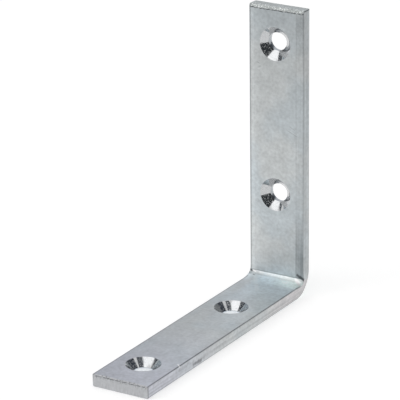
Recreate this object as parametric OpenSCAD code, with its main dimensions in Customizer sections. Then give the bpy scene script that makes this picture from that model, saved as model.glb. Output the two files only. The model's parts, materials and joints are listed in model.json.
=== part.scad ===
// Heavy-duty angle bracket: one flat steel bar, punched, countersunk and bent square.
// It stands on its lying leg, with the standing leg rising at the +Y end.
// The origin is at the middle of the underside, and X runs across the bar.

/* [Legs] */
// Length of the lying leg, from the back face to its free end
leg_out = 150; // [110:1:240]
// Height of the standing leg, from the underside to its top end
leg_up = 146; // [110:1:240]

/* [Bar] */
// Width of the bar
bar_w = 30; // [26:0.5:50]
// Thickness of the bar
bar_t = 6.5; // [5:0.1:9]
// Radius of the bar's long edges
edge_r = 0.9; // [0.4:0.1:1.6]
// Width of the soft shoulder on the inner face, along the right edge
shoulder_right = 4; // [2.5:0.1:5]
// Width of the soft shoulder on the inner face, along the left edge
shoulder_left = 2.6; // [2.5:0.1:5]
// Slope that a shoulder reaches where it meets the edge radius, in degrees
shoulder_slope = 9; // [3:1:15]
// Radius that the shears leave on the inner edge of each cut end
cut_r = 1; // [0.4:0.1:2]

/* [Bend] */
// Inside radius of the bend
bend_r = 3; // [2:0.1:8]
// How far the squeezed inner metal swells past each side
bend_swell = 0.5; // [0:0.05:1]
// How far the stretched outer metal draws in at each side
bend_draw = 0.5; // [0:0.05:1]
// How much thinner the bar is at the middle of the bend
bend_thin = 0.6; // [0:0.05:1]
// How far the swelling runs on into each leg
bend_run = 3; // [1:0.5:8]

/* [Screw holes] */
// Diameter of the screw holes
hole_d = 9.2; // [5:0.1:10]
// Diameter of the countersinks at the inner face
sink_d = 16.8; // [12:0.1:18]
// Full angle of the countersinks, in degrees
sink_angle = 90; // [82:1:100]
// Sideways offset of the hole row from the bar's centre line
row_shift = -0.6; // [-2:0.1:2]
// From the lying leg's free end to its first hole
out_first = 21; // [12:0.5:30]
// Distance between the lying leg's two holes
out_pitch = 79.5; // [25:0.5:80]
// From the standing leg's top end to its first hole
up_first = 18.5; // [12:0.5:30]
// Distance between the standing leg's two holes
up_pitch = 77; // [25:0.5:80]

/* [Hidden] */

// Segments of an edge radius, of a shoulder and of the quarter turn of the bend
edge_steps = 5;
shoulder_steps = 4;
turn_steps = 14;
// Segments of the run-out beside the bend
run_steps = 3;
// Facets of a round hole
hole_facets = 96;
// How far a cutter reaches past the face that it opens
cut_over = 1;
hole_r = hole_d / 2;
sink_r = sink_d / 2;
sink_slope = tan(sink_angle / 2);
sink_depth = (sink_r - hole_r) / sink_slope;
// The bend's axis lies this far from the underside and from the back face
axis_in = bar_t + bend_r;
// Where the straight legs start, from the underside and from the back face
leg_start = axis_in + bend_run;
back_y = leg_out / 2;

// Half of the bar's section, as [across, up from the outer face], from its underside to
// the flat of its inner face: an edge radius, the side, a second edge radius that starts
// at the shoulder's slope, and the shoulder, which ends tangent to the inner face.
function half_section(shoulder) =
    let (
        half = bar_w / 2,
        rise = sin(shoulder_slope),
        shoulder_r = (shoulder - edge_r * (1 - rise)) / rise,
        drop = (shoulder_r - edge_r) * (1 - cos(shoulder_slope))
    )
    concat(
        [for (i = [0 : edge_steps])
            let (a = 90 * i / edge_steps)
            [half - edge_r + edge_r * sin(a), edge_r - edge_r * cos(a)]],
        [for (i = [0 : edge_steps])
            let (a = 90 - (90 - shoulder_slope) * i / edge_steps)
            [half - edge_r + edge_r * sin(a), bar_t - drop - edge_r + edge_r * cos(a)]],
        [for (i = [1 : shoulder_steps])
            let (a = shoulder_slope * (1 - i / shoulder_steps))
            [half - shoulder + shoulder_r * sin(a), bar_t - shoulder_r + shoulder_r * cos(a)]]
    );

function mirrored(points) =
    [for (i = [len(points) - 1 : -1 : 0]) [-points[i][0], points[i][1]]];

section = concat(half_section(shoulder_right), mirrored(half_section(shoulder_left)));

// One ring of the bend: the section, swollen inside and drawn in outside by the share
// given, and set at a turn about the bend's axis and a distance along the leg beside it.
function bend_ring(turn, along, share) =
    let (
        lean = (turn > 45) ? [0, 1] : [-1, 0],
        centre = [back_y - axis_in, axis_in] + along * lean
    )
    [for (p = section)
        let (
            level = p[1] / bar_t,
            swell = share * (bend_swell * level - bend_draw * (1 - level)),
            from_axis = bend_r + (bar_t - p[1]) * (1 - share * bend_thin / bar_t)
        )
        [
            p[0] * (1 + swell / (bar_w / 2)),
            centre[0] + from_axis * sin(turn),
            centre[1] - from_axis * cos(turn)
        ]];

// Length of the bend along the middle of the bar, and the swelling along it
turn_length = (bend_r + bar_t / 2) * PI / 2;
function bend_share(along) =
    pow(sin(180 * (along + bend_run) / (turn_length + 2 * bend_run)), 2);

bend_rings = concat(
    [for (i = [run_steps : -1 : 1])
        let (along = bend_run * i / run_steps)
        bend_ring(0, along, bend_share(-along))],
    [for (i = [0 : turn_steps])
        bend_ring(90 * i / turn_steps, 0, bend_share(turn_length * i / turn_steps))],
    [for (i = [1 : run_steps])
        let (along = bend_run * i / run_steps)
        bend_ring(90, along, bend_share(turn_length + along))]
);

// A closed skin over rings that have the same number of points
module skin(rings) {
    count = len(rings[0]);
    last = (len(rings) - 1) * count;
    polyhedron(
        points = [for (ring = rings) each ring],
        faces = concat(
            [[for (j = [count - 1 : -1 : 0]) j]],
            [[for (j = [0 : count - 1]) last + j]],
            [for (i = [0 : len(rings) - 2], j = [0 : count - 1])
                [i * count + (j + 1) % count, (i + 1) * count + j, i * count + j]],
            [for (i = [0 : len(rings) - 2], j = [0 : count - 1])
                [i * count + (j + 1) % count, (i + 1) * count + (j + 1) % count, (i + 1) * count + j]]
        )
    );
}

// A straight leg that starts at the origin and runs up Z, with its outer face at Y = 0
// and its inner face towards -Y. The inner edge of its cut end is rounded.
module leg(length) {
    difference() {
        linear_extrude(height = length)
            polygon([for (p = section) [p[0], -p[1]]]);
        translate([0, -bar_t, length])
            rotate([0, 90, 0])
                linear_extrude(height = bar_w + 2 * cut_over, center = true)
                    corner_waste(cut_r);
    }
}

// What is cut away to round a corner at the origin whose metal lies towards +X and +Y
module corner_waste(radius) {
    polygon(concat(
        [[-cut_over, radius], [-cut_over, -cut_over], [radius, -cut_over]],
        [for (i = [0 : edge_steps])
            let (a = 90 * i / edge_steps)
            [radius - radius * sin(a), radius - radius * cos(a)]]
    ));
}

// A countersunk hole, cut down from the inner face at the origin through a bar below it
module screw_hole() {
    translate([0, 0, -bar_t - cut_over])
        cylinder(h = bar_t + 2 * cut_over, r = hole_r, $fn = hole_facets);
    translate([0, 0, -sink_depth])
        cylinder(
            h = sink_depth + cut_over,
            r1 = hole_r,
            r2 = sink_r + cut_over * sink_slope,
            $fn = hole_facets
        );
}

module lying_leg() {
    translate([0, back_y - leg_start, 0])
        rotate([90, 0, 0])
            mirror([0, 1, 0])
                leg(leg_out - leg_start);
}

module standing_leg() {
    translate([0, back_y, leg_start])
        leg(leg_up - leg_start);
}

module bracket() {
    color("silver")
        difference() {
            union() {
                lying_leg();
                skin(bend_rings);
                standing_leg();
            }
            for (reach = [out_first, out_first + out_pitch])
                translate([row_shift, back_y - leg_out + reach, bar_t])
                    screw_hole();
            for (reach = [up_first, up_first + up_pitch])
                translate([row_shift, back_y - bar_t, leg_up - reach])
                    rotate([90, 0, 0])
                        screw_hole();
        }
}

bracket();
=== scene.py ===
import json
import math

import bmesh
import bpy
from mathutils import Matrix, Vector, noise


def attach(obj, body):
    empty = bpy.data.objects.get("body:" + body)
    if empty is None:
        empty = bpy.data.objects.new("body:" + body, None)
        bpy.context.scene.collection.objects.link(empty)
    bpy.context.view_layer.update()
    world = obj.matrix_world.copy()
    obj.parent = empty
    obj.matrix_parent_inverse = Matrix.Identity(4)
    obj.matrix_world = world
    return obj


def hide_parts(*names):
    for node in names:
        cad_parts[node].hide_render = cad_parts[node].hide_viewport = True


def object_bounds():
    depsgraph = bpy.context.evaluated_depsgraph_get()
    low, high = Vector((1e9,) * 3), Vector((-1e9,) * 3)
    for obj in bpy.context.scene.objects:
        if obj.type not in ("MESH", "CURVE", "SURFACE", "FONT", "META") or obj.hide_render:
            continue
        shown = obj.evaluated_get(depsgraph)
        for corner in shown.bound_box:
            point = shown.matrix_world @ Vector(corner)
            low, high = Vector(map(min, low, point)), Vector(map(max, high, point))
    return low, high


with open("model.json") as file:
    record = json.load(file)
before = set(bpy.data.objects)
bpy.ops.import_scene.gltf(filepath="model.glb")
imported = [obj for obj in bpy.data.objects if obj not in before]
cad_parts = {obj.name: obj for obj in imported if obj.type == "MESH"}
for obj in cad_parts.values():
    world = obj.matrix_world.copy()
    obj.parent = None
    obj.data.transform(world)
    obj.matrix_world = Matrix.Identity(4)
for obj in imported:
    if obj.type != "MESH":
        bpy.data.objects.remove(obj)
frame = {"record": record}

mm = 0.001
scene = bpy.context.scene
cadLow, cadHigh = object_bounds()
print("frame: box", [round(v / mm, 2) for v in (*cadLow, *cadHigh)])


# Camera, at the photograph's angle. Azimuth 0 looks along +Y, and the long lens keeps the
# legs' edges nearly parallel.
photoCamera = {
    "azimuth": 31.45,        # degrees round the bracket
    "elevation": 20.2,       # degrees above the floor
    "roll": -0.67,           # degrees
    "distance": 1364.8 * mm,  # from the middle of the bracket's box
    "aside": 1.63 * mm,      # how far the camera stands left of that middle
    "below": 3.0 * mm,       # how far it stands below it
    "lens": 262.5,
}


def placeCamera(c):
    azimuth, elevation, roll = (math.radians(c[k]) for k in ("azimuth", "elevation", "roll"))
    back = Vector((math.sin(azimuth) * math.cos(elevation),
                   -math.cos(azimuth) * math.cos(elevation), math.sin(elevation)))
    level = Vector((math.cos(azimuth), math.sin(azimuth), 0))
    right = Matrix.Rotation(roll, 3, back) @ level
    up = back.cross(right)
    middle = (cadLow + cadHigh) / 2
    data = bpy.data.cameras.new("photoCamera")
    data.lens = c["lens"]
    data.clip_end = 20
    camera = bpy.data.objects.new("photoCamera", data)
    scene.collection.objects.link(camera)
    place = middle + back * c["distance"] - right * c["aside"] - up * c["below"]
    turn = Matrix((right, up, back)).transposed()
    camera.matrix_world = Matrix.Translation(place) @ turn.to_4x4()
    scene.camera = camera


placeCamera(photoCamera)
print("camera placed")


# Shader sums written as Python: a Wire is a socket, and a sum on Wires adds Math nodes.
class Wire:
    def __init__(self, desk, socket):
        self.desk, self.socket = desk, socket

    def __add__(self, other):
        return self.desk.maths("ADD", self, other)

    __radd__ = __add__

    def __sub__(self, other):
        return self.desk.maths("SUBTRACT", self, other)

    def __rsub__(self, other):
        return self.desk.maths("SUBTRACT", other, self)

    def __mul__(self, other):
        return self.desk.maths("MULTIPLY", self, other)

    __rmul__ = __mul__


class NodeDesk:
    def __init__(self, owner):
        owner.use_nodes = True
        self.tree = owner.node_tree
        self.tree.nodes.clear()

    def maths(self, operation, left, right=0.0):
        return self.node("ShaderNodeMath", {"operation": operation}, {0: left, 1: right})

    def node(self, kind, settings=None, sockets=None, out=0):
        made = self.tree.nodes.new(kind)
        for name, value in (settings or {}).items():
            setattr(made, name, value)
        for name, value in (sockets or {}).items():
            if isinstance(value, Wire):
                self.tree.links.new(value.socket, made.inputs[name])
            else:
                made.inputs[name].default_value = value
        return Wire(self, made.outputs[out]) if made.outputs else made

    def blendColours(self, factor, first, second, mode="MIX"):
        made = {"data_type": "RGBA", "blend_type": mode, "clamp_factor": True}
        first, second = (c if isinstance(c, Wire) else (*c[:3], 1) for c in (first, second))
        return self.node("ShaderNodeMix", made, {0: factor, 6: first, 7: second}, out=2)

    def vectors(self, operation, left, right):
        return self.node("ShaderNodeVectorMath", {"operation": operation}, {0: left, 1: right})

    def band(self, value, low, high):  # smooth step, 0 at low and 1 at high
        return self.node("ShaderNodeMapRange", {"interpolation_type": "SMOOTHSTEP"},
                         {0: value, 1: low, 2: high})

    def place(self):  # object coordinates, in metres
        return self.node("ShaderNodeTexCoord", out=3)

    def noise(self, place, scale, detail=2.0):
        return self.node("ShaderNodeTexNoise", None, {"Vector": place, "Scale": scale, "Detail": detail})


# The studio: a pale floor, a white surround, two soft boxes, and dark cards that only shiny
# metal mirrors. Directions are degrees: azimuth 0 is in front (-Y) and 90 is to the right.
studio = {
    "floorSize": 8.0,
    "floorColour": (0.80, 0.80, 0.80),
    "floorGlow": 0.46,       # lifts the floor to white for what looks at it
    "surround": 1.0,         # white that the camera and the metal see
    "softLight": 0.66,       # the same surround as light on rough surfaces
}
softBoxes = {                # centre (m), width and depth (m), turn (degrees), radiance
    "overheadBox": {"at": (-0.30, -0.36, 1.0), "size": (1.00, 0.40), "turn": -10, "radiance": 0.62},
    "frontBox": {"azimuth": -43, "elevation": 27, "distance": 1.3, "size": (0.62, 0.86),
                 "radiance": 0.85},
}
cards = {                    # angular width and height as seen from the bracket
    "cardFront": {"azimuth": 42, "elevation": 26, "wide": 56, "high": 66, "distance": 0.60,
                  "tone": (0.048, 0.054, 0.058)},
    "cardFrontLow": {"azimuth": 6, "elevation": 18, "wide": 24, "high": 36, "distance": 0.9,
                     "tone": (0.110, 0.120, 0.130)},
    "cardCeiling": {"azimuth": 62, "elevation": 62, "wide": 34, "high": 24, "distance": 1.0,
                    "tone": (0.130, 0.140, 0.155)},
    "cardBack": {"azimuth": 140, "elevation": 34, "wide": 46, "high": 42, "distance": 1.2,
                 "tone": (0.070, 0.078, 0.095)},
    "cardBackLow": {"azimuth": 168, "elevation": 14, "wide": 34, "high": 32, "distance": 1.3,
                    "tone": (0.200, 0.220, 0.240)},
    "cardLeft": {"azimuth": -84, "elevation": 43, "wide": 21, "high": 24, "distance": 1.1,
                 "tone": (0.080, 0.092, 0.105)},
    "cardFarLeft": {"azimuth": -108, "elevation": 14, "wide": 44, "high": 34, "distance": 1.2,
                    "tone": (0.38, 0.44, 0.48)},
    "cardBackLeft": {"azimuth": -155, "elevation": 22, "wide": 52, "high": 42, "distance": 1.2,
                     "tone": (0.84, 0.86, 0.90)},
}


def aimed(azimuth, elevation):  # unit vector from the bracket towards a direction in degrees
    a, e = math.radians(azimuth), math.radians(elevation)
    return Vector((math.sin(a) * math.cos(e), -math.cos(a) * math.cos(e), math.sin(e)))


def seenBy(desk, kind):  # 1 for one kind of ray
    path = desk.node("ShaderNodeLightPath").socket.node
    return Wire(desk, path.outputs[kind])


def seenRay(desk):  # 1 for rays that look at a thing or mirror it, 0 for rays that light
    return (seenBy(desk, "Is Camera Ray") + seenBy(desk, "Is Glossy Ray")
            + seenBy(desk, "Is Transmission Ray"))


def makeFloor():
    size, glow = studio["floorSize"], studio["floorGlow"]
    floor = flatSheet("studioFloor", size, size)
    floor.location.z = cadLow.z
    paint = bpy.data.materials.new("studioFloor")
    desk = NodeDesk(paint)
    grain = desk.noise(desk.place(), 3.0)
    pale = studio["floorColour"]
    colour = desk.blendColours(grain, pale, [v * 0.99 for v in pale])
    camera, glossy = seenBy(desk, "Is Camera Ray"), seenBy(desk, "Is Glossy Ray")
    lift = desk.blendColours(camera, (0, 0, 0), (glow, glow, glow))
    sheet = desk.node("ShaderNodeBsdfPrincipled", None, {
        "Base Color": colour, "Roughness": 0.9, "Specular IOR Level": 0.0,
        "Emission Color": lift, "Emission Strength": 1.0})
    mirrored = desk.node("ShaderNodeEmission", None, {"Color": (1, 1, 1, 1)})
    both = desk.node("ShaderNodeMixShader", None, {0: glossy, 1: sheet, 2: mirrored})
    desk.node("ShaderNodeOutputMaterial", None, {"Surface": both})
    floor.data.materials.append(paint)


def makeWorld():
    world = bpy.data.worlds.new("whiteSurround")
    scene.world = world
    desk = NodeDesk(world)
    soft, seen = (desk.node("ShaderNodeBackground", None, {"Color": (1, 1, 1, 1), "Strength": studio[k]})
                  for k in ("softLight", "surround"))
    both = desk.node("ShaderNodeMixShader", None, {0: seenRay(desk), 1: soft, 2: seen})
    desk.node("ShaderNodeOutputWorld", None, {"Surface": both})


def makeSoftBoxes():
    middle = (cadLow + cadHigh) / 2
    for name, b in softBoxes.items():
        data = bpy.data.lights.new(name, "AREA")
        data.shape = "RECTANGLE"
        data.size, data.size_y = b["size"]
        data.energy = b["radiance"] * math.pi * data.size * data.size_y
        lamp = bpy.data.objects.new(name, data)
        scene.collection.objects.link(lamp)
        if "at" in b:
            lamp.location = b["at"]
            lamp.rotation_euler.z = math.radians(b["turn"])
        else:
            away = aimed(b["azimuth"], b["elevation"])
            lamp.location = middle + away * b["distance"]
            lamp.rotation_euler = away.to_track_quat("Z", "Y").to_euler()
        lamp.visible_camera = False


def flatSheet(name, width, height):
    w, h = width / 2, height / 2
    mesh = bpy.data.meshes.new(name)
    mesh.from_pydata([(-w, -h, 0), (w, -h, 0), (w, h, 0), (-w, h, 0)], [], [(0, 1, 2, 3)])
    sheet = bpy.data.objects.new(name, mesh)
    scene.collection.objects.link(sheet)
    return sheet


def makeCards():
    middle = (cadLow + cadHigh) / 2
    for name, c in cards.items():
        width, height = (2 * c["distance"] * math.tan(math.radians(c[k]) / 2) for k in ("wide", "high"))
        card = flatSheet(name, width, height)
        away = aimed(c["azimuth"], c["elevation"])
        card.location = middle + away * c["distance"]
        card.rotation_euler = away.to_track_quat("Z", "Y").to_euler()
        card.visible_camera = card.visible_diffuse = card.visible_shadow = False
        card.visible_transmission = False
        cloth = bpy.data.materials.new(name)
        desk = NodeDesk(cloth)
        light, deep = ([v * k for v in c["tone"]] for k in (1.1, 0.9))
        weave = desk.blendColours(desk.noise(desk.place(), 40.0), deep, light)
        dark = desk.node("ShaderNodeEmission", None, {"Color": weave})
        desk.node("ShaderNodeOutputMaterial", None, {"Surface": dark})
        card.data.materials.append(cloth)


makeFloor()
makeWorld()
makeSoftBoxes()
makeCards()
scene.view_settings.view_transform = "Standard"
print("studio ready")


# The bar that the bracket is bent from, and its bend
bar = {
    "width": 30 * mm,
    "thickness": 6.5 * mm,
    "outerEdge": 0.9 * mm,       # radius of the long edges on the outer faces
    "innerEdge": 0.35 * mm,      # and on the inner faces
    "shoulderRight": 4.0 * mm,   # sloping shoulders along the inner face
    "shoulderLeft": 2.6 * mm,
    "shoulderSlope": 3.6,        # degrees
    "shoulderSoft": 0.12 * mm,   # half width of the soft line where a shoulder starts
    "columnStep": 0.8 * mm,      # mesh size across the bar
    "stationStep": 1.5 * mm,     # mesh size along the legs
    "sideRows": 14,              # closer together towards the inner face
}
bend = {
    "radius": 3.0 * mm,          # inside, before the press nose marks it
    "creaseRise": 2.3 * mm,      # from the lying leg up to the line that the press nose leaves
    "creaseTurn": 65.0,          # degrees that the nose's mark turns through, up to that line
    "ease": 2.0,                 # how gently the mark starts on the lying leg: 1 is a plain arc
    "easeRun": 9.0 * mm,
    "swell": 0.40 * mm,          # squeezed metal past each side, inside the bend
    "draw": 0.5 * mm,            # drawn in at each side, outside the bend
    "thin": 0.6 * mm,
    "run": 3.0 * mm,             # how far the swelling runs on into a leg
    "steps": 30,
}
lumps = {  # metal heaped up or pressed in: across, share of the turn, their reaches, height
    "rightFall": (16.6 * mm, 0.60, 2.6 * mm, 0.34, -1.25 * mm),
    "rightFold": (14.4 * mm, 0.94, 1.2 * mm, 0.06, -0.30 * mm),
    "leftHeap": (-13.3 * mm, 0.78, 0.9 * mm, 0.14, 0.45 * mm),
    "leftFold": (-14.6 * mm, 0.60, 0.5 * mm, 0.14, -0.30 * mm),
}
shear = {
    "lyingRoll": (0.45 * mm, 0.50 * mm),     # soft edge on the inner side of each cut end:
    "standingRoll": (1.30 * mm, 0.75 * mm),  # along the bar, and into its thickness
    "rollWave": 0.35,            # how much that edge wanders
    "rearRoll": 0.25 * mm,       # small radius on the other edges of a cut end
    "lean": 0.10 * mm,           # the torn part of the cut leans back
    "tear": 0.06 * mm,           # unevenness of the torn part
    "blend": 4.0 * mm,           # stretch of leg that takes up the uneven end
    "lyingSeed": 11.5,
    "standingSeed": 42.5,
}
halfWidth = bar["width"] / 2
thick = bar["thickness"]
axisIn = thick + bend["radius"]                 # bend's axis, from the outer faces
lyingLength = cadHigh.y - cadLow.y - axisIn
standingLength = cadHigh.z - cadLow.z - axisIn
bendAxis = Vector((cadHigh.y - axisIn, cadLow.z + axisIn))
turnLength = (bend["radius"] + thick / 2) * math.pi / 2
quarter = math.pi / 2
slope = math.radians(bar["shoulderSlope"])


def shoulderDrop(x):  # how far a shoulder lies below the flat of the inner face
    width = bar["shoulderRight"] if x > 0 else bar["shoulderLeft"]
    inset = abs(x) - (halfWidth - width)
    soft = bar["shoulderSoft"]
    if inset <= -soft:
        return 0.0
    if inset < soft:
        return math.tan(slope) * (inset + soft) ** 2 / (4 * soft)
    return math.tan(slope) * inset


def rounded(radius, inset):  # height lost on a quarter round, inset past its tangent point
    return radius - math.sqrt(max(0.0, radius ** 2 - inset ** 2))


def innerHeight(x):
    edge = bar["innerEdge"]
    tangent = halfWidth - edge * (1 - math.sin(slope))
    if abs(x) <= tangent:
        return thick - shoulderDrop(x)
    centre = thick - shoulderDrop(math.copysign(tangent, x)) - edge * math.cos(slope)
    return centre + edge - rounded(edge, min(edge, abs(x) - (halfWidth - edge)))


def outerHeight(x):
    edge = bar["outerEdge"]
    return rounded(edge, min(edge, max(0.0, abs(x) - (halfWidth - edge))))


def spread(low, high, step):  # evenly spaced values, both ends left out
    count = max(1, round((high - low) / step))
    return [low + (high - low) * i / count for i in range(1, count)]


def columnsOf(side):  # places across half of the inner face, and as many across the outer one
    width = bar["shoulderRight"] if side > 0 else bar["shoulderLeft"]
    inner, outer, soft = bar["innerEdge"], bar["outerEdge"], bar["shoulderSoft"]
    line = halfWidth - width
    tangent = halfWidth - inner * (1 - math.sin(slope))
    flats = (spread(0, line - soft, bar["columnStep"]) + [line - soft, line, line + soft]
             + spread(line + soft, tangent, bar["columnStep"]) + [tangent])
    scaled = [x * (halfWidth - outer) / tangent for x in flats]
    turns = [quarter / 2 * i / 4 for i in range(1, 5)]
    over = [halfWidth - inner + inner * math.sin(slope + (1 - slope / (quarter / 2)) * a) for a in turns]
    under = [halfWidth - outer + outer * math.sin(a) for a in turns]
    return [side * x for x in flats + over], [side * x for x in scaled + under]


def rowsOf(side):  # (x, height) up one side of the bar, between the middles of its corners
    inner, outer = bar["innerEdge"], bar["outerEdge"]
    tangent = halfWidth - inner * (1 - math.sin(slope))
    top = thick - shoulderDrop(side * tangent) - inner * math.cos(slope)
    turns = [quarter / 2 * (1 + i / 4) for i in range(5)]
    low = [(halfWidth - outer + outer * math.sin(a), outer - outer * math.cos(a)) for a in turns]
    high = [(halfWidth - inner + inner * math.sin(a), top + inner * math.cos(a)) for a in turns]
    bottom, count = outer, bar["sideRows"]
    straight = [top - (top - bottom) * (1 - i / count) ** 1.5 for i in range(1, count)]
    return [(side * x, h) for x, h in low + [(halfWidth, h) for h in straight] + high[::-1]]


rightInner, rightOuter = columnsOf(1)
leftInner, leftOuter = columnsOf(-1)
innerColumns = leftInner[::-1] + [0.0] + rightInner
outerColumns = leftOuter[::-1] + [0.0] + rightOuter
innerRow = [(x, innerHeight(x)) for x in innerColumns]
outerRow = [(x, outerHeight(x)) for x in outerColumns]
leftRows, rightRows = rowsOf(-1), rowsOf(1)
loop = outerRow + rightRows[1:-1] + innerRow[::-1] + leftRows[-2:0:-1]


def capPoint(i, j):  # a point of the grid that closes an end, spanned between its four sides
    u = (innerColumns[i] - innerColumns[0]) / (innerColumns[-1] - innerColumns[0])
    v = (rightRows[j][1] - rightRows[0][1]) / (rightRows[-1][1] - rightRows[0][1])
    low, high, left, right = (Vector(p) for p in (outerRow[i], innerRow[i], leftRows[j], rightRows[j]))
    corners = ((Vector(leftRows[0]) * (1 - u) + Vector(rightRows[0]) * u) * (1 - v)
               + (Vector(leftRows[-1]) * (1 - u) + Vector(rightRows[-1]) * u) * v)
    return low * (1 - v) + high * v + left * (1 - u) + right * u - corners


def wander(x, h, seed, pitch):  # smooth noise from -1 to 1 over a cut end
    return noise.noise(Vector((x / pitch, h / pitch, seed)))


def endRelief(x, h, seed):  # how far a cut end stands back at a point of its face
    edge = 1 + shear["rollWave"] * (wander(x, 0, seed, 3.2 * mm) + 0.6 * wander(x, 0, seed + 7, 1.3 * mm))
    reach, depth = shear["lyingRoll" if seed == shear["lyingSeed"] else "standingRoll"]
    over = min(1.0, max(0.0, h - (innerHeight(x) - depth * edge)) / (depth * edge))
    rear = shear["rearRoll"]
    under = min(1.0, max(0.0, rear - (h - outerHeight(x))) / rear)
    beside = min(1.0, max(0.0, abs(x) - (halfWidth - rear)) / rear)
    back = sum(size * (1 - math.sqrt(1 - share ** 2)) for size, share in
               ((reach * edge, over), (rear, under), (rear, beside)))
    torn = min(1.0, max(0.0, 1 - h / (thick * 0.6)))
    back += shear["lean"] * torn
    return back + shear["tear"] * (0.5 + 0.5 * wander(x, h, seed + 3, 0.9 * mm)) * (0.4 + torn)


def swellShare(along):  # 0 where the legs are straight, 1 in the middle of the bend
    place = (along + bend["run"]) / (turnLength + 2 * bend["run"])
    return math.sin(math.pi * place) ** 2 if 0 < place < 1 else 0.0


def swept(x, h, turn, along, share):  # a point of the bar at a turn of the bend
    level = h / thick
    swell = share * (bend["swell"] * level - bend["draw"] * (1 - level))
    reach = bend["radius"] + (thick - h) * (1 - share * bend["thin"] / thick)
    lift = noseLift(x, turn, along) * max(0.0, level) ** 3
    start = bendAxis + (Vector((-along, 0)) if turn == 0 else Vector((0, along)))
    return Vector((x * (1 + swell / halfWidth),
                   start.x + reach * math.sin(turn) + lift.x,
                   start.y - reach * math.cos(turn) + lift.y))


def noseMark():  # the press nose's mark: points past the corner of the inner faces, one a step
    turn, ease, fine = math.radians(bend["creaseTurn"]), bend["ease"], 40
    count = bend["steps"] - 2
    path = [Vector((0, 0))]
    for i in range(count * fine):
        angle = turn * ((i + 0.5) / (count * fine)) ** ease
        path.append(path[-1] + Vector((math.cos(angle), math.sin(angle))))
    scale = bend["creaseRise"] / path[-1].y
    return [Vector(((p.x - path[-1].x) * scale, p.y * scale)) for p in path[::fine]]


nosePoints = noseMark()


def noseLift(x, turn, along):  # from the plain inner arc to the nose's mark and the lumps
    step = round(turn / quarter * bend["steps"])
    plain = bend["radius"] * Vector((math.sin(turn), -math.cos(turn)))
    corner = Vector((bend["radius"], -bend["radius"]))
    if step < len(nosePoints):
        marked = corner + nosePoints[step]
    else:
        share = (step - len(nosePoints) + 1) / (bend["steps"] - len(nosePoints) + 1)
        rise = bend["creaseRise"]
        marked = corner + Vector((0, rise + (bend["radius"] - rise) * share))
    fade = max(0.0, 1 - along / bend["easeRun"])
    heap = 0.0
    for place, share, wide, tall, size in lumps.values():
        apart = ((x - place) / wide) ** 2 + ((step / bend["steps"] - share) / tall) ** 2
        heap += size * math.exp(-apart) * fade
    inward = Vector((-1, 1)).normalized()
    return (marked - plain) * fade + inward * heap


def legStations(length):  # distances along a leg, from the bend to its cut end
    run, blend = bend["run"], shear["blend"]
    near = [run * i / 4 for i in range(1, 5)]
    far = [length - blend + blend * (1 - (1 - i / 8) ** 1.5) for i in range(9)]
    return near + spread(run, length - blend, bar["stationStep"]) + far


def legPoint(x, h, turn, along, length, seed):
    stretch = along - (length - shear["blend"])
    if stretch > 0:
        along -= endRelief(x, h, seed) * stretch / shear["blend"]
    return swept(x, h, turn, along, swellShare(-along if turn == 0 else turnLength + along))


def sweepBar():  # the bent bar as one closed mesh, before its holes
    build = bmesh.new()
    lying, standing = shear["lyingSeed"], shear["standingSeed"]
    rings = []
    for along in reversed(legStations(lyingLength)):
        rings.append([legPoint(x, h, 0, along, lyingLength, lying) for x, h in loop])
    for i in range(bend["steps"] + 1):
        share = swellShare(turnLength * i / bend["steps"])
        rings.append([swept(x, h, quarter * i / bend["steps"], 0, share) for x, h in loop])
    for along in legStations(standingLength):
        rings.append([legPoint(x, h, quarter, along, standingLength, standing) for x, h in loop])
    verts = [[build.verts.new(p) for p in ring] for ring in rings]
    count = len(loop)
    for ring, after in zip(verts, verts[1:]):
        for j in range(count):
            k = (j + 1) % count
            build.faces.new((ring[j], ring[k], after[k], after[j]))
    closeEnd(build, verts[0], 0, lyingLength, lying, True)
    closeEnd(build, verts[-1], quarter, standingLength, standing, False)
    return build


def closeEnd(build, ring, turn, length, seed, flipped):
    wide, tall = len(innerRow), len(rightRows)
    count = len(loop)

    def rimVertex(i, j):  # the ring's own vertex on the rim, None inside it
        if j == 0:
            return ring[i]
        if j == tall - 1:
            return ring[wide + tall - 2 + (wide - 1 - i)]
        if i == wide - 1:
            return ring[wide - 1 + j]
        if i == 0:
            return ring[count - j]
        return None

    grid = {}
    for i in range(wide):
        for j in range(tall):
            vertex = rimVertex(i, j)
            if vertex is None:
                x, h = capPoint(i, j)
                vertex = build.verts.new(legPoint(x, h, turn, length, length, seed))
            grid[i, j] = vertex
    for i in range(wide - 1):
        for j in range(tall - 1):
            face = (grid[i, j], grid[i, j + 1], grid[i + 1, j + 1], grid[i + 1, j])
            build.faces.new(face if not flipped else face[::-1])


# The countersunk holes, at the places that the record gives
hole = {
    "sinkRadius": 8.4 * mm,      # at the inner face
    "lip": 0.10 * mm,            # softened rim of the countersink
    "throat": 0.12 * mm,         # softened edge between cone and bore
    "tear": 0.30 * mm,           # the punch tore the bore wider where it left,
    "tearDeep": 1.6 * mm,        # up to this height
    "over": 1.0 * mm,            # how far the cutters reach past the faces
    "segments": 144,
}
boreSlip = {                 # bores that stand off the middle of their countersinks
    "screw_hole_up_end": (-0.60 * mm, 0.3 * mm),
    "screw_hole_up_bend": (-0.10 * mm, 0.0),
}
boreMounts = [m for m in frame["record"]["mounts"] if m["kind"] == "bore"]


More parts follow.
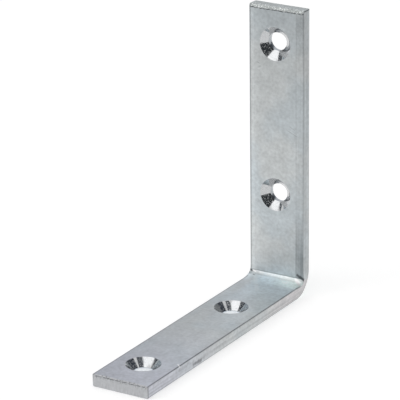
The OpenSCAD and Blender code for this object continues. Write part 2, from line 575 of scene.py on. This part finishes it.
def addCutter(build, mount):  # a torn bore that may have slipped, under a true cone
    away = Vector(mount["axis"])
    radius, length = mount["dims"]["r_mm"] * mm, mount["dims"]["length_mm"] * mm
    foot = Vector(mount["pos_m"]) - away * length / 2
    across, along = Vector((1, 0, 0)), away.cross(Vector((1, 0, 0)))
    slip = Vector(boreSlip.get(mount["name"], (0, 0)))
    sink, lip, throat, tear, over = (hole[k] for k in ("sinkRadius", "lip", "throat", "tear", "over"))
    columns = []
    for k in range(hole["segments"]):
        turn = 2 * math.pi * k / hole["segments"]
        way = Vector((math.cos(turn), math.sin(turn)))
        wall = slip + way * radius
        spoke = wall.normalized()  # from the cone's middle, through the same point
        reach = wall.length
        meet = length + reach - radius
        points = [
            (wall + way * tear * (1 + over / hole["tearDeep"]), -over), (wall, hole["tearDeep"]),
            (wall, meet - throat), (spoke * (reach + throat * 0.4), meet + throat * 0.6),
            (spoke * (sink - lip), thick - lip), (spoke * (sink - lip * 0.35), thick - lip * 0.5),
            (spoke * (sink + lip * 0.35), thick + lip * 0.1),
            (spoke * (sink + over * 2), thick + over),
        ]
        columns.append([build.verts.new(foot + across * p.x + along * p.y + away * z) for p, z in points])
    for k, column in enumerate(columns):
        after = columns[(k + 1) % len(columns)]
        for j in range(len(column) - 1):
            build.faces.new((column[j], after[j], after[j + 1], column[j + 1]))
    build.faces.new([column[0] for column in reversed(columns)])
    build.faces.new([column[-1] for column in columns])


def meshFrom(build, name):
    bmesh.ops.recalc_face_normals(build, faces=build.faces)
    mesh = bpy.data.meshes.new(name)
    build.to_mesh(mesh)
    build.free()
    return mesh


def makeBracket():
    blank = bpy.data.objects.new("bentBar", meshFrom(sweepBar(), "bentBar"))
    cutters = bmesh.new()
    for mount in boreMounts:
        addCutter(cutters, mount)
    punch = bpy.data.objects.new("holeCutters", meshFrom(cutters, "holeCutters"))
    for o in (blank, punch):
        scene.collection.objects.link(o)
    cut = blank.modifiers.new("holes", "BOOLEAN")
    cut.object, cut.operation, cut.solver = punch, "DIFFERENCE", "EXACT"
    dressed = blank.evaluated_get(bpy.context.evaluated_depsgraph_get())
    mesh = bpy.data.meshes.new_from_object(dressed)
    mesh.name = "bracketSkin"
    for o in (blank, punch):
        bpy.data.objects.remove(o)
    for face in mesh.polygons:
        face.use_smooth = True
    mesh.set_sharp_from_angle(angle=math.radians(18))
    skin = bpy.data.objects.new("bracketSkin", mesh)
    scene.collection.objects.link(skin)
    return skin


bracket = makeBracket()
print("bracket cut:", len(bracket.data.polygons), "faces")


def barPlace(point):  # (across, along the bar from the lying leg's end, height over outer face)
    back, up = bendAxis.x - point.y, point.z - bendAxis.y
    if up < 0 <= back:
        return point.x, lyingLength - back, point.z - cadLow.z
    if back < 0 <= up:
        return point.x, lyingLength + turnLength + up, cadHigh.y - point.y
    if back >= 0 and up >= 0:  # inside the corner, on heaped metal
        return point.x, lyingLength + turnLength / 2, thick
    turn = math.atan2(-back, -up)
    return point.x, lyingLength + turnLength * turn / quarter, axisIn - math.hypot(back, up)


def markPlaces(mesh):
    places = mesh.attributes.new("barPlace", "FLOAT_VECTOR", "POINT")
    values = []
    for vertex in mesh.vertices:
        values.extend(barPlace(vertex.co))
    places.data.foreach_set("vector", values)


# Bright zinc plating on the bar, with its marks and with painted light and shade. Places along the bar
# start at the lying leg's cut end and run round the bend to the standing leg's top.
barLength = lyingLength + turnLength + standingLength
creaseTurn = math.atan2(bend["radius"], bend["radius"] - bend["creaseRise"])
creaseAt = lyingLength + turnLength * creaseTurn / quarter
zinc = {
    "plain": (0.485, 0.505, 0.508),
    "blue": (0.450, 0.487, 0.505),
    "lilac": (0.462, 0.474, 0.520),
    "bendBlue": (0.428, 0.484, 0.518),   # the bluish painted reflection on the lying leg beside the bend
    "bendGreen": (0.432, 0.488, 0.478),  # its greener last stretch, on the right, in the painted sheen
    "bendPink": (0.520, 0.510, 0.518),   # and its sides there
    "roughness": 0.38,
    "metallic": 0.66,        # the plating's haze scatters the rest
    "mottle": 0.60,          # how far the plating's tone wanders
    "sideLight": 1.11,       # painted light: the bar's sides lighter than its faces
    "sideBand": 0.10,        # painted light: a lighter band on the lying leg's sides just under their upper edges
    "bandDark": 0.97,        # painted darker reflection on the standing leg's right shoulder
    "bandBend": 0.17,        # more of that near the bend
    "bandTop": 0.13,         # and near the top, in fine dots
    "bandLight": 1.08,       # and painted light on its left one
    "leftGlow": 0.07,        # painted light on the face beside it
    "endDark": 0.07,         # the last stretch under the standing leg's top
    "standLight": 1.27,      # painted light: the standing leg lighter than the lying one
    "topDark": 0.80,         # the standing leg's top end
    "paintedBendReflection": 1.34,       # painted reflection on the lying leg beside the bend, lighter and bluer
    "rightLight": 0.16,      # painted light: the lying leg's right half against its left one
    "rightHump": 0.11,       # more of that beyond its hole nearest the bend
    "bendRight": 0.13,       # and less beside the bend, on the right
    "bendLeft": 0.17,        # and on the left, where the blue fades too
    "paintedBendSheen": 0.44,        # painted sheen: the last stretch before the bend is lighter
    "burnishAndHighlight": (0.14, 0.05),  # a painted highlight inside the bend, where the press nose also makes it shinier
    "bump": 0.18,
}
grains = {                   # noise scales a metre: the larger, the finer
    "patches": 34.0,
    "blotches": 160.0,
    "spangle": 620.0,
    "streaks": 2400.0,       # drawn out along the bar
    "sideStreaks": 1300.0,
    "drawn": 0.012,          # how far both are drawn out
    "burnishAndHighlight": 260.0,
    "dots": 1500.0,
    "waver": 420.0,          # in the line where a cut end starts
    "dashes": 560.0,         # in the painted shade line along it
    "stripes": 2600.0,       # up the cut ends
    "flecks": 2300.0,
    "chips": 1700.0,
}
cutEnd = {
    "lyingGrey": (0.55, 0.56, 0.58),
    "standingGrey": (0.43, 0.455, 0.45),
    "roughness": 0.46,
    "lyingRim": 0.45 * mm,   # from each end to the line where the cut starts
    "standingRim": 1.65 * mm,
    "rimWander": 1.1 * mm,
    "striation": 0.48,
    "flecks": 1.35,          # light specks under the standing end's line
    "chips": 0.55,           # dark specks under the lying end's line
}
paintedShadeLine = {                 # painted shade: thin dark lines at the cut ends' rims, the crease and the edges
    "colour": (0.10, 0.11, 0.12),
    "rim": 1.0,              # at the edge of a cut end
    "crease": 0.34,          # above the press nose's mark
    "lyingEdge": 0.64,       # the lying leg's right edge
    "leftEdges": 0.44,
    "otherEdges": 0.24,
    "sideFoot": 0.42,        # the lower edge of a side
    "lyingCorner": 0.42,     # the corners of a cut end, on the sides
    "standingCorner": 0.75,
    "shoulderFoot": 0.60,    # where the standing leg's right shoulder starts, near the bend
    "halfWide": 0.24 * mm,
}
strokes = [                  # across and along of both ends in mm, half width, tone: -1 is dark
    # the "crease" strokes are painted shade and painted highlights at the ends of the bend and beside it; the
    # others are small marks
    ("crease", (11.8, 2.4), (13.6, 1.2), 0.62, -0.80),
    ("crease", (13.2, 1.4), (15.4, -0.6), 0.95, -0.92),
    ("crease", (11.6, -1.6), (14.0, -6.8), 1.05, 0.85),
    ("crease", (-15.4, 0.6), (-13.7, -1.4), 0.62, -0.95),
    ("crease", (-12.3, -5.5), (-11.6, -6.4), 0.40, -0.60),
    ("crease", (-12.9, -0.8), (-11.9, -1.5), 0.55, 0.85),
    ("crease", (-10.9, -7.8), (-0.7, -23.4), 1.00, 0.16),
    ("crease", (4.0, -4.6), (11.6, -4.2), 1.60, 0.20),
    ("top", (7.7, 59.1), (10.5, 60.7), 0.12, -0.30),
    ("top", (6.6, 61.3), (11.6, 63.6), 0.12, -0.38),
    ("top", (6.9, 61.0), (11.2, 62.9), 0.10, 0.30),
    ("top", (-10.4, 28.9), (-9.4, 29.4), 0.22, -0.35),
    ("top", (-9.6, 31.0), (-8.4, 30.7), 0.22, -0.30),
    ("top", (-10.0, 32.2), (-8.9, 31.9), 0.18, 0.25),
    ("top", (-7.6, 33.0), (-6.8, 33.3), 0.18, -0.22),
    ("lying", (13.4, 28.7), (15.1, 27.2), 0.26, 0.85),
    ("lying", (-13.6, 6.0), (-9.0, 7.2), 0.12, -0.20),
    ("lying", (4.0, 52.0), (9.5, 58.0), 0.12, -0.22),
    ("lying", (-6.0, 96.0), (-2.0, 103.0), 0.12, 0.22),
]
sidePits = [                 # on the right side: along, height, their half sizes in mm, depth of tone
    (44.2, 2.3, 4.0, 0.80, 0.44),
    (32.0, 4.2, 6.0, 0.80, 0.16),
    (62.0, 3.4, 5.0, 0.50, 0.14),
]


def tonedColour(desk, colour, tone):  # colour times a grey made from a number
    grey = desk.node("ShaderNodeCombineColor", None, {0: tone, 1: tone, 2: tone})
    return desk.blendColours(1.0, colour, grey, "MULTIPLY")


def metalShader(desk, metallic, sockets):
    sockets["Metallic"] = metallic
    shade = desk.node("ShaderNodeBsdfPrincipled", None, sockets)
    desk.node("ShaderNodeOutputMaterial", None, {"Surface": shade})


def strokeMask(desk, flat, stroke):  # 1 along a short straight mark on the inner face
    start, first, last, halfWide, tone = stroke
    origin = {"lying": 0.0, "crease": creaseAt, "top": barLength}[start]
    way = -mm if start == "top" else mm
    a, b = (Vector((x * mm, origin + y * way, 0)) for x, y in (first, last))
    run = b - a
    offset = desk.vectors("SUBTRACT", flat, a)
    dot = desk.node("ShaderNodeVectorMath", {"operation": "DOT_PRODUCT"},
                    {0: offset, 1: run / run.length_squared}, out=1)
    share = desk.maths("MINIMUM", desk.maths("MAXIMUM", dot, 0.0), 1.0)
    nearest = desk.node("ShaderNodeVectorMath", {"operation": "SCALE"}, {0: run, "Scale": share})
    gap = desk.node("ShaderNodeVectorMath", {"operation": "DISTANCE"}, {0: offset, 1: nearest}, out=1)
    return 1 - desk.band(gap, halfWide * 0.5 * mm, halfWide * 1.5 * mm)


def inside(desk, value, low, high, soft):  # 1 between two limits
    return desk.band(value, low - soft, low + soft) * (1 - desk.band(value, high - soft, high + soft))


def paintZinc():
    paint = bpy.data.materials.new("brightZincPlate")
    desk = NodeDesk(paint)
    place = desk.node("ShaderNodeAttribute", {"attribute_name": "barPlace"}, out=1)
    split = desk.node("ShaderNodeSeparateXYZ", None, {0: place}).socket.node
    across, along, height = (Wire(desk, split.outputs[k]) for k in range(3))
    aside = desk.maths("ABSOLUTE", across)
    flat = desk.vectors("MULTIPLY", place, (1.0, 1.0, 0.0))
    crosswise = desk.vectors("MULTIPLY", place, (1.0, 0.0, 0.0))
    facing = desk.node("ShaderNodeSeparateXYZ", None, {0: desk.node("ShaderNodeTexCoord", out=1)})
    side = desk.band(desk.maths("ABSOLUTE", facing), 0.75, 0.95)
    upper = desk.band(height, thick - 1.2 * mm, thick - 0.7 * mm)
    face = upper * (1 - side)
    standing = desk.band(along, creaseAt - 0.5 * mm, creaseAt + 0.5 * mm)

    patches = desk.noise(place, grains["patches"], 3.0)
    blotches = desk.noise(place, grains["blotches"], 3.0)
    spangle = desk.noise(place, grains["spangle"], 4.0)
    drawn = desk.vectors("MULTIPLY", place, (1.0, grains["drawn"], 1.0))
    streaks = desk.noise(drawn, grains["streaks"], 3.0)
    sideStreaks = desk.noise(drawn, grains["sideStreaks"], 3.0)
    besideBend = desk.band(along, creaseAt - 60 * mm, creaseAt - 12 * mm) * (1 - standing)
    plain = desk.blendColours(desk.band(patches, 0.42, 0.62), zinc["plain"], zinc["blue"])
    fromLeft = desk.band(across, -11.5 * mm, -5.5 * mm)
    # painted bluish reflection on the lying leg's face beside the bend
    plain = desk.blendColours(besideBend * (1 - side) * (0.25 + fromLeft * 0.75), plain, zinc["bendBlue"])
    plain = desk.blendColours(besideBend * side, plain, zinc["bendPink"])
    lyingFace = (1 - standing) * (1 - side)
    # painted sheen on the last stretch before the bend, greener on the right
    haze = desk.band(along, creaseAt - 18 * mm, creaseAt - 8.5 * mm) * lyingFace
    farRight = desk.band(across, -5 * mm, 12 * mm)
    plain = desk.blendColours(haze * farRight, plain, zinc["bendGreen"])
    # inside the bend: a painted highlight strip, lighter and neutral grey, and shinier where the press nose
    # ran
    lighter, shinier = zinc["burnishAndHighlight"]
    burnishAndHighlight = (desk.band(along, creaseAt - 5.0 * mm, creaseAt - 1.5 * mm)
               * (1 - desk.band(along, creaseAt - 0.3 * mm, creaseAt + 0.1 * mm)) * face)
    burnishAndHighlight = burnishAndHighlight * (0.35 + desk.band(desk.noise(crosswise, grains["burnishAndHighlight"], 2.0), 0.35, 0.62) * 0.65)
    plain = desk.blendColours(burnishAndHighlight * 0.8, plain, zinc["plain"])
    lilac = desk.band(along + (patches - 0.5) * 0.06, 0.075, 0.010)
    tint = desk.blendColours(lilac, plain, zinc["lilac"])

    tone = 1 + ((blotches - 0.5) * 0.7 + (spangle - 0.5) * 0.9) * zinc["mottle"]
    # painted light: the standing leg's face lighter than the lying leg's
    tone = tone * (1 + standing * (1 - side) * (zinc["standLight"] - 1))
    tone = tone * (1 - desk.band(along, barLength - 110 * mm, barLength) * (1 - zinc["topDark"]))
    # painted reflection: the lying leg lighter beside the bend
    tone = tone * (1 + besideBend * (1 - side) * (zinc["paintedBendReflection"] - 1))
    rightward = desk.band(across, -halfWidth, halfWidth)
    hump = inside(desk, along, 82 * mm, 103 * mm, 8 * mm)
    nearCrease = desk.band(along, creaseAt - 48 * mm, creaseAt - 30 * mm)
    nearerCrease = desk.band(along, creaseAt - 46 * mm, creaseAt - 12 * mm)
    # painted light and shade across the lying leg: lighter on the right and beyond its nearest hole, darker
    # beside the bend
    tone = tone * (1 + lyingFace * (rightward - 0.45) * zinc["rightLight"])
    tone = tone * (1 + lyingFace * rightward * hump * zinc["rightHump"])
    tone = tone * (1 - lyingFace * nearCrease * farRight * (1 - haze) * zinc["bendRight"])
    # painted sheen on the last stretch before the bend
    fadeOut = 1 - desk.band(along, creaseAt - 6.5 * mm, creaseAt - 3.5 * mm)
    tone = tone * (1 + haze * fadeOut * zinc["paintedBendSheen"])
    tone = tone * (1 - lyingFace * nearerCrease * (1 - fromLeft) * zinc["bendLeft"])
    standingFace = standing * (1 - side)
    nearTop = desk.band(along, barLength - 16 * mm, barLength - 5 * mm)
    tone = tone * (1 - standingFace * nearTop * fromLeft * zinc["endDark"])
    # painted light on the standing leg's left part and its left shoulder
    tone = tone * (1 + standingFace * (1 - desk.band(across, -12 * mm, -8.5 * mm)) * zinc["leftGlow"])
    leftBand = (1 - desk.band(across, -12.5 * mm, -12.2 * mm)) * face * standing
    tone = tone * (1 + leftBand * (zinc["bandLight"] - 1))
    tone = tone * (1 + burnishAndHighlight * lighter)
    # painted darker reflection on the right shoulder, streaked near the bend and dotted near the top
    shoulder = desk.band(across, 10.8 * mm, 11.2 * mm) * face * standing
    nearBend = 1 - desk.band(along, creaseAt + 12 * mm, creaseAt + 38 * mm)
    shoulderDark = (1 - zinc["bandDark"]) + nearBend * zinc["bandBend"]
    shoulderDark = shoulderDark + (streaks - 0.5) * (0.25 + nearBend * 0.6)
    dots = desk.noise(place, grains["dots"], 1.0)
    dotted = desk.band(along, barLength - 30 * mm, barLength - 8 * mm) * zinc["bandTop"]
    shoulderDark = shoulderDark + dotted * (1 + (dots - 0.5) * 3.0)
    tone = tone * (1 - shoulder * shoulderDark)
    # painted light on the sides, and a lighter painted band under the lying leg's upper edges
    tone = tone * (1 + side * ((zinc["sideLight"] - 1) + (sideStreaks - 0.5) * 0.9))
    sideBand = inside(desk, height, thick - 2.4 * mm, thick - 1.1 * mm, 0.15 * mm) * side * (1 - standing)
    tone = tone * (1 + sideBand * zinc["sideBand"])
    pits = 0.0
    for middle, level, halfLong, halfTall, depth in sidePits:
        off = desk.vectors("SUBTRACT", place, (0.0, middle * mm, level * mm))
        off = desk.vectors("MULTIPLY", off, (0.0, 1 / (halfLong * mm), 1 / (halfTall * mm)))
        size = desk.node("ShaderNodeVectorMath", {"operation": "LENGTH"}, {0: off}, out=1)
        pit = 1 - desk.band(size + (spangle - 0.5) * 2.4, 0.5, 1.6)
        pits = pits + pit * depth
    pits = pits * desk.band(across, 14.6 * mm, 14.8 * mm)
    tone = tone * (1 - pits)
    colour = tonedColour(desk, tint, tone)

    fromEnd = desk.maths("MINIMUM", along, barLength - along)
    waver = desk.noise(crosswise, grains["waver"], 3.0) - 0.5
    rim = cutEnd["lyingRim"] + standingFace * (cutEnd["standingRim"] - cutEnd["lyingRim"])
    rimLine = rim + waver * cutEnd["rimWander"] * (0.3 + standingFace * 0.7)
    cut = 1 - desk.band(fromEnd, rimLine, rimLine + 0.06 * mm)
    stripes = desk.noise(desk.vectors("MULTIPLY", place, (1.0, 0.1, 0.12)), grains["stripes"], 3.0)
    flecks = desk.band(desk.noise(place, grains["flecks"], 1.0), 0.56, 0.64) * standing
    flecks = flecks * (0.35 + desk.band(height, thick - 2.8 * mm, thick - 1.6 * mm) * 0.65)
    chips = desk.band(desk.noise(place, grains["chips"], 2.0), 0.54, 0.62) * (1 - standing)
    chips = chips * desk.band(height, thick - 2.6 * mm, thick - 0.6 * mm)
    cutTone = (0.97 - chips * cutEnd["chips"] + (stripes - 0.5) * cutEnd["striation"] + (spangle - 0.5) * 0.35
               + flecks * cutEnd["flecks"])
    grey = desk.blendColours(standing, cutEnd["lyingGrey"], cutEnd["standingGrey"])
    colour = desk.blendColours(cut, colour, tonedColour(desk, grey, cutTone))

    # painted shade: thin dark lines at the cut ends' rims, the crease, the edges, the sides' feet, the end
    # corners and the right shoulder's start
    line = paintedShadeLine["halfWide"]
    dashes = desk.band(desk.noise(crosswise, grains["dashes"], 3.0), 0.36, 0.56)
    onTop = inside(desk, fromEnd - rimLine, -line, line, 0.08 * mm) * face * standing
    level = thick - 0.75 * mm + waver * 1.0 * mm
    onFront = (inside(desk, height - level, -line, line, 0.08 * mm) * (1 - standing)
               * (1 - desk.band(fromEnd, 0.4 * mm, 0.6 * mm)) * (1 - desk.band(aside, 13 * mm, 14 * mm)))
    crease = inside(desk, along, creaseAt - 0.1 * mm, creaseAt + 1.0 * mm, 0.15 * mm) * face
    left = 1 - desk.band(across, -1 * mm, 0.0)
    edge = desk.band(aside + left * 0.45 * mm, halfWidth - 0.50 * mm, halfWidth - 0.36 * mm)
    edge = edge * desk.band(height, thick - 0.62 * mm, thick - 0.50 * mm)
    edge = edge * (1 - inside(desk, along, creaseAt - 8.5 * mm, creaseAt + 0.5 * mm, 1.5 * mm))
    rightLying = desk.band(across, 0.0, 1 * mm) * (1 - standing) * (0.8 + (patches - 0.5) * 1.4)
    edge = edge * (paintedShadeLine["otherEdges"] + left * (paintedShadeLine["leftEdges"] - paintedShadeLine["otherEdges"])
                   + rightLying * (paintedShadeLine["lyingEdge"] - paintedShadeLine["otherEdges"]))
    foot = side * (1 - desk.band(height, 0.5 * mm, 0.9 * mm)) * paintedShadeLine["sideFoot"]
    start = inside(desk, across, 10.85 * mm, 11.1 * mm, 0.1 * mm) * face * standing
    start = start * (0.3 + nearBend * 0.7) * paintedShadeLine["shoulderFoot"]
    corner = side * (1 - desk.band(fromEnd, 0.6 * mm, 0.8 * mm))
    corner = corner * (paintedShadeLine["lyingCorner"]
                       + standing * (paintedShadeLine["standingCorner"] - paintedShadeLine["lyingCorner"]))
    shade = (onTop + onFront * 0.75) * dashes * paintedShadeLine["rim"]
    for mask in (crease * paintedShadeLine["crease"], edge, foot, start, corner):
        shade = desk.maths("MAXIMUM", shade, mask)
    # light strokes: painted highlights at the bend, and lighter marks on the faces
    light = 0.0
    for stroke in strokes:
        mask = strokeMask(desk, flat, stroke) * upper
        if stroke[-1] < 0:
            shade = desk.maths("MAXIMUM", shade, mask * -stroke[-1])
        else:
            light = light + mask * stroke[-1]
    colour = desk.blendColours(shade, colour, paintedShadeLine["colour"])
    colour = desk.blendColours(light, colour, (0.9, 0.9, 0.9))

    roughness = (zinc["roughness"] - burnishAndHighlight * shinier + (blotches - 0.5) * 0.14
                 + (spangle - 0.5) * 0.16 + pits * 0.3
                 + cut * (cutEnd["roughness"] - zinc["roughness"]) + shade * 0.2)
    relief = spangle * 0.4 + blotches * 0.3 + side * streaks * 0.6 + cut * (stripes * 0.9 + flecks)
    bumps = desk.node("ShaderNodeBump", None, {"Height": relief, "Strength": zinc["bump"],
                                               "Distance": 0.3 * mm})
    metalShader(desk, zinc["metallic"], {"Base Color": colour, "Roughness": roughness, "Normal": bumps})
    return paint


# The shiny cut of the countersinks, and the bores
sinkCut = {
    "colour": (0.56, 0.57, 0.58),
    "speck": (0.66, 0.67, 0.68),   # pits that the tool left dull
    "roughness": 0.085,
    "bump": 0.14,
    "fine": 1500.0,              # noise scales: the cut's grain and its specks
    "specks": 2600.0,
}
boreWall = {
    # the lying leg's bores painted lighter, as painted light; the standing leg's are duller metal
    "lying": (0.80, 0.83, 0.86),
    "standing": (0.42, 0.44, 0.46),
    "roughness": 0.22,
    "fine": 1200.0,
}


def paintSink():
    paint = bpy.data.materials.new("countersinkCut")
    desk = NodeDesk(paint)
    place = desk.place()
    fine = desk.noise(place, sinkCut["fine"])
    specks = desk.band(desk.noise(place, sinkCut["specks"], 1.0), 0.62, 0.67)
    colour = tonedColour(desk, (*sinkCut["colour"], 1), 1 + (fine - 0.5) * 0.2)
    colour = desk.blendColours(specks, colour, sinkCut["speck"])
    bumps = desk.node("ShaderNodeBump", None, {"Height": specks, "Strength": sinkCut["bump"],
                                               "Distance": 0.1 * mm})
    metalShader(desk, 1 - specks, {"Base Color": colour, "Normal": bumps,
                                   "Roughness": sinkCut["roughness"] + (fine - 0.5) * 0.05 + specks * 0.35})
    return paint


def paintBore():
    paint = bpy.data.materials.new("boreWall")
    desk = NodeDesk(paint)
    place = desk.place()
    fine = desk.noise(place, boreWall["fine"])
    split = desk.node("ShaderNodeSeparateXYZ", None, {0: place}).socket.node
    standing = desk.band(Wire(desk, split.outputs["Z"]), thick, thick * 2)
    # painted light: the lying leg's bores lighter than the standing leg's
    grey = desk.blendColours(standing, boreWall["lying"], boreWall["standing"])
    colour = tonedColour(desk, grey, 1 + (fine - 0.5) * 0.2)
    metalShader(desk, 1.0, {"Base Color": colour, "Roughness": boreWall["roughness"] + (fine - 0.5) * 0.1})
    return paint


def dressBracket(skin):
    skin.data.materials.clear()
    for paint in (paintZinc(), paintSink(), paintBore()):
        skin.data.materials.append(paint)
    markPlaces(skin.data)
    reach = hole["sinkRadius"] + hole["lip"]
    for face in skin.data.polygons:
        for mount in boreMounts:
            away = Vector(mount["axis"])
            fromHole = face.center - Vector(mount["pos_m"])
            aside = (fromHole - away * fromHole.dot(away)).length
            lean = abs(face.normal.dot(away))
            if aside < reach and lean < 0.97:  # not the flat face round the hole
                face.material_index = 1 if lean > 0.5 else 2


dressBracket(bracket)
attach(bracket, "root")
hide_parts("bracket")
print("bracket dressed")
